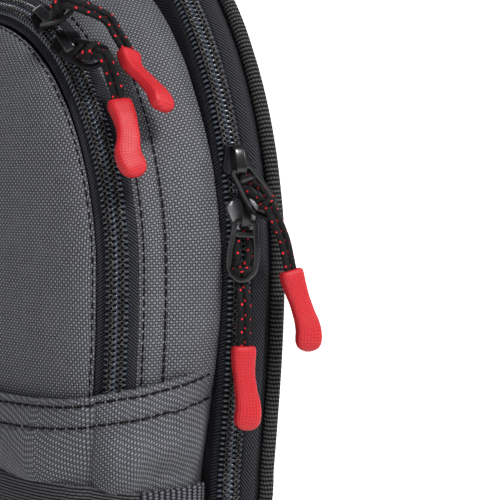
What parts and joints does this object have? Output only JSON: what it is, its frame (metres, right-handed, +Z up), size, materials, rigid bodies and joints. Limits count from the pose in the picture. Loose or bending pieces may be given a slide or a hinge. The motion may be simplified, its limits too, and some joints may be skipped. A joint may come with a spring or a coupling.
{
  "type": "fishing chest pack",
  "caption": "Slim arched chest pack with a grey domed front pocket, a hemmed slip pocket, coil zips with cord and rubber pulls, a padded back and a plain harness.",
  "frame": {"origin": "middle of the pack's underside, below the grey pocket", "axes": "+Z up the pack's height, -Y out of the front pocket, +X to the right seen from the front"},
  "size_m": [0.2171, 0.0892, 0.2349],
  "materials": {
    "black_canvas": "matt woven nylon, black",
    "grey_canvas": "coarse basket-weave nylon, mid grey, matt",
    "zip_tape": "twill zip tape, near black",
    "zip_coil": "moulded nylon coil, blue-black, satin gloss",
    "binding_tape": "ribbed grosgrain, dark grey",
    "black_webbing": "ribbed webbing, black",
    "grey_webbing": "ribbed webbing, grey",
    "pad_mesh": "padded air mesh, black",
    "zip_hardware": "die-cast zinc, black enamel",
    "pull_cord": "braided cord, black with red flecks",
    "pull_rubber": "soft rubber, red, satin",
    "buckle_plastic": "moulded acetal, black"
  },
  "bodies": {
    "root": {"back_pad": "pad_mesh", "edge_binding": "binding_tape", "front_lower_cord_a": "pull_cord", "front_lower_cord_b": "pull_cord", "front_lower_knot": "pull_cord", "front_lower_puller": "pull_rubber", "front_lower_slider": "zip_hardware", "front_lower_tab": "zip_hardware", "front_panel": "grey_canvas", "front_upper_cord_a": "pull_cord", "front_upper_cord_b": "pull_cord", "front_upper_knot": "pull_cord", "front_upper_puller": "pull_rubber", "front_upper_slider": "zip_hardware", "front_upper_tab": "zip_hardware", "front_webbing": "black_webbing", "front_zipper_coil": "zip_coil", "front_zipper_tape": "zip_tape", "lower_webbing_left": "black_webbing", "lower_webbing_right": "black_webbing", "main_front": "black_canvas", "main_lower_cord_a": "pull_cord", "main_lower_cord_b": "pull_cord", "main_lower_knot": "pull_cord", "main_lower_puller": "pull_rubber", "main_lower_slider": "zip_hardware", "main_lower_tab": "zip_hardware", "main_upper_cord_a": "pull_cord", "main_upper_cord_b": "pull_cord", "main_upper_knot": "pull_cord", "main_upper_puller": "pull_rubber", "main_upper_slider": "zip_hardware", "main_upper_tab": "zip_hardware", "main_zipper_coil": "zip_coil", "main_zipper_tape": "zip_tape", "pocket_gusset": "grey_canvas", "rear_shell": "black_canvas", "shoulder_pad_left": "pad_mesh", "shoulder_pad_right": "pad_mesh", "side_webbing_left": "grey_webbing", "side_webbing_right": "grey_webbing", "slip_panel": "grey_canvas", "strap_adjuster_left": "buckle_plastic", "strap_adjuster_right": "buckle_plastic"}
  },
  "joints": []
}
